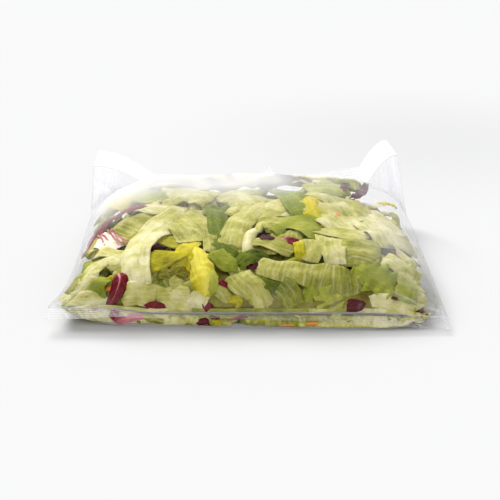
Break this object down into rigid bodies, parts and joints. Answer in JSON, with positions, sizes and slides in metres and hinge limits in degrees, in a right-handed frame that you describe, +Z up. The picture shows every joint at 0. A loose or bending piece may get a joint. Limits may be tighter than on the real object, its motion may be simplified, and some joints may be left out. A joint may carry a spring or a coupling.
{
  "type": "bag of salad leaves",
  "caption": "Clear pillow bag of cut mixed salad leaves, crimp-sealed at both ends, lying flat on its back with its far seal and corners standing up.",
  "frame": {"origin": "on the table under the middle of the bag's box", "axes": "+X across the bag from its left side fold to its right one, -Y towards the front seal, +Z up"},
  "size_m": [0.28, 0.2454, 0.076],
  "materials": {
    "film": "gloss",
    "iceberg": "satin",
    "green_leaf": "satin",
    "yellow_leaf": "satin",
    "radicchio": "satin",
    "carrot": "satin",
    "inner_leaves": "matte"
  },
  "bodies": {
    "root": {"salad_bag": "film"}
  },
  "joints": []
}
